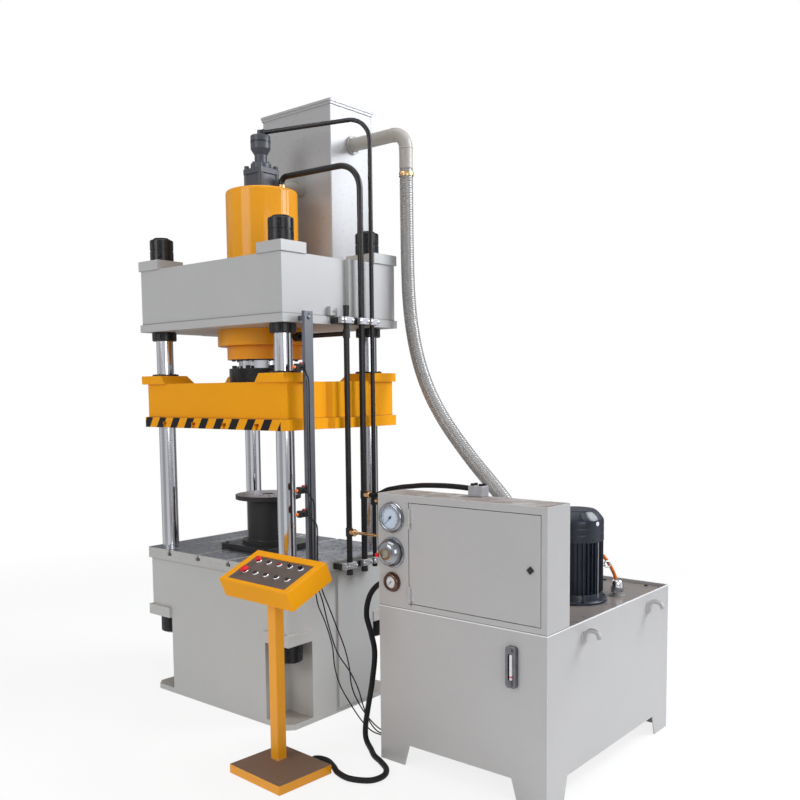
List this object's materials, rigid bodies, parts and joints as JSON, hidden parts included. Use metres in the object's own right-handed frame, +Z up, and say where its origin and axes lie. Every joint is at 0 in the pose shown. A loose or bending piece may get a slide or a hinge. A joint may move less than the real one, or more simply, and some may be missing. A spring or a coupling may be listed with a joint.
{
  "type": "hydraulic press",
  "caption": "Four-column hydraulic press with a sliding beam under a top cylinder, a slotted table, a floor-standing power unit and an operator pedestal.",
  "frame": {"origin": "on the floor under the ram's axis, at the centre of the four columns", "axes": "+Z up, +X to the right along the press front towards the power unit, +Y to the rear; the operator stands at -Y"},
  "size_m": [2.6565, 1.7481, 3.2767],
  "materials": {
    "pale_grey_paint": "pale grey enamel",
    "machined_steel": "milled top, painted edge",
    "hard_chrome": "hard-chromed bar with blackened nuts",
    "yellow_paint": "yellow enamel",
    "dark_cast_iron": "dark, oily",
    "beige_paint": "beige enamel",
    "black_pipe_paint": "glossy black",
    "blackened_steel": "blackened",
    "zinc_plate": "zinc plated",
    "black_plastic": "black plastic",
    "motor_paint": "dark blue-black enamel",
    "gauge_face": "bright bezel, pale dial",
    "clear_hose": "clear wire-wound hose",
    "black_rubber": "black rubber",
    "orange_plastic": "orange sheath",
    "red_plastic": "red plastic"
  },
  "bodies": {
    "frame": {"bed_frame": "pale_grey_paint", "work_table": "machined_steel", "column_front_left": "hard_chrome", "column_front_right": "hard_chrome", "column_rear_left": "hard_chrome", "column_rear_right": "hard_chrome", "upper_crosshead": "pale_grey_paint", "main_cylinder": "yellow_paint", "cylinder_gland": "yellow_paint", "prefill_valve": "dark_cast_iron", "head_tank": "pale_grey_paint", "fill_elbow": "beige_paint", "pilot_pipe": "black_pipe_paint", "return_pipe": "black_pipe_paint", "pressing_pipe": "black_pipe_paint", "pipe_clamp_upper": "blackened_steel", "pipe_clamp_lower": "blackened_steel", "switch_bar": "zinc_plate", "upper_switch": "black_plastic", "middle_switch": "black_plastic", "lower_switch": "black_plastic", "die_plate": "blackened_steel", "die_spool": "dark_cast_iron", "oil_tank": "pale_grey_paint", "tank_cover": "dark_cast_iron", "valve_cabinet": "pale_grey_paint", "valve_manifold": "dark_cast_iron", "motor_frame": "motor_paint", "fan_cowl": "motor_paint", "level_gauge": "zinc_plate", "system_gauge": "gauge_face", "contact_gauge": "gauge_face", "pilot_gauge": "gauge_face", "junction_block": "zinc_plate", "pedestal": "yellow_paint", "console_box": "yellow_paint", "clear_hose": "clear_hose", "top_hose": "black_rubber", "control_conduit": "black_rubber", "motor_cable": "orange_plastic", "upper_switch_lead": "black_rubber", "middle_switch_lead": "black_rubber", "lower_switch_lead": "black_rubber"},
    "slide": {"slide_beam": "yellow_paint", "ram": "hard_chrome"},
    "door": {"cabinet_door": "pale_grey_paint"},
    "latch": {"door_latch": "black_plastic"},
    "rotor": {"motor_rotor": "machined_steel"},
    "cap": {"filler_cap": "hard_chrome"},
    "pointer": {"system_pointer": "black_plastic"},
    "emergency_stop": {"emergency_stop": "red_plastic"},
    "press_button": {"press_button": "black_plastic"},
    "return_button": {"return_button": "black_plastic"},
    "inch_down_button": {"inch_down_button": "black_plastic"},
    "inch_up_button": {"inch_up_button": "black_plastic"},
    "pump_stop": {"pump_stop": "red_plastic"},
    "pump_start": {"pump_start": "black_plastic"},
    "halt_button": {"halt_button": "red_plastic"},
    "mode_selector": {"mode_selector": "black_plastic"},
    "cushion_selector": {"cushion_selector": "black_plastic"}
  },
  "joints": [
    {"name": "ram_stroke", "type": "slide", "parent": "frame", "child": "slide", "axis": [0, 0, 1], "range_m": [-0.37, 0.012]},
    {"name": "door_hinge", "type": "hinge", "parent": "frame", "child": "door", "pos_m": [1.282, -0.344, 0.973], "axis": [0, 0, 1], "range_deg": [-110, 0]},
    {"name": "latch_turn", "type": "hinge", "parent": "door", "child": "latch", "pos_m": [1.893, -0.337, 0.974], "axis": [0, 1, 0], "range_deg": [-90, 0]},
    {"name": "motor_spin", "type": "hinge", "parent": "frame", "child": "rotor", "pos_m": [1.722, 0.345, 0.9], "axis": [0, 0, 1], "continuous": true},
    {"name": "cap_turn", "type": "hinge", "parent": "frame", "child": "cap", "pos_m": [1.845, 0.535, 0.75], "axis": [0, 0, 1], "range_deg": [0, 90]},
    {"name": "system_needle", "type": "hinge", "parent": "frame", "child": "pointer", "pos_m": [1.181, -0.353, 1.126], "axis": [0, 1, 0], "range_deg": [0, 270]},
    {"name": "emergency_stop_press", "type": "slide", "parent": "frame", "child": "emergency_stop", "axis": [-0.0243, -0.398, 0.9171], "range_m": [-0.004, 0], "stiffness_N_per_m": 900, "springref_m": 0.003},
    {"name": "press_button_press", "type": "slide", "parent": "frame", "child": "press_button", "axis": [-0.0243, -0.398, 0.9171], "range_m": [-0.004, 0], "stiffness_N_per_m": 900, "springref_m": 0.003},
    {"name": "return_button_press", "type": "slide", "parent": "frame", "child": "return_button", "axis": [-0.0243, -0.398, 0.9171], "range_m": [-0.004, 0], "stiffness_N_per_m": 900, "springref_m": 0.003},
    {"name": "inch_down_button_press", "type": "slide", "parent": "frame", "child": "inch_down_button", "axis": [-0.0243, -0.398, 0.9171], "range_m": [-0.004, 0], "stiffness_N_per_m": 900, "springref_m": 0.003},
    {"name": "inch_up_button_press", "type": "slide", "parent": "frame", "child": "inch_up_button", "axis": [-0.0243, -0.398, 0.9171], "range_m": [-0.004, 0], "stiffness_N_per_m": 900, "springref_m": 0.003},
    {"name": "pump_stop_press", "type": "slide", "parent": "frame", "child": "pump_stop", "axis": [-0.0243, -0.398, 0.9171], "range_m": [-0.004, 0], "stiffness_N_per_m": 900, "springref_m": 0.003},
    {"name": "pump_start_press", "type": "slide", "parent": "frame", "child": "pump_start", "axis": [-0.0243, -0.398, 0.9171], "range_m": [-0.004, 0], "stiffness_N_per_m": 900, "springref_m": 0.003},
    {"name": "halt_button_press", "type": "slide", "parent": "frame", "child": "halt_button", "axis": [-0.0243, -0.398, 0.9171], "range_m": [-0.004, 0], "stiffness_N_per_m": 900, "springref_m": 0.003},
    {"name": "mode_selector_turn", "type": "hinge", "parent": "frame", "child": "mode_selector", "pos_m": [0.85207, -0.65347, 0.90928], "axis": [-0.0243, -0.398, 0.9171], "range_deg": [-60, 0]},
    {"name": "cushion_selector_turn", "type": "hinge", "parent": "frame", "child": "cushion_selector", "pos_m": [0.92544, -0.65795, 0.90928], "axis": [-0.0243, -0.398, 0.9171], "range_deg": [-60, 0]}
  ]
}
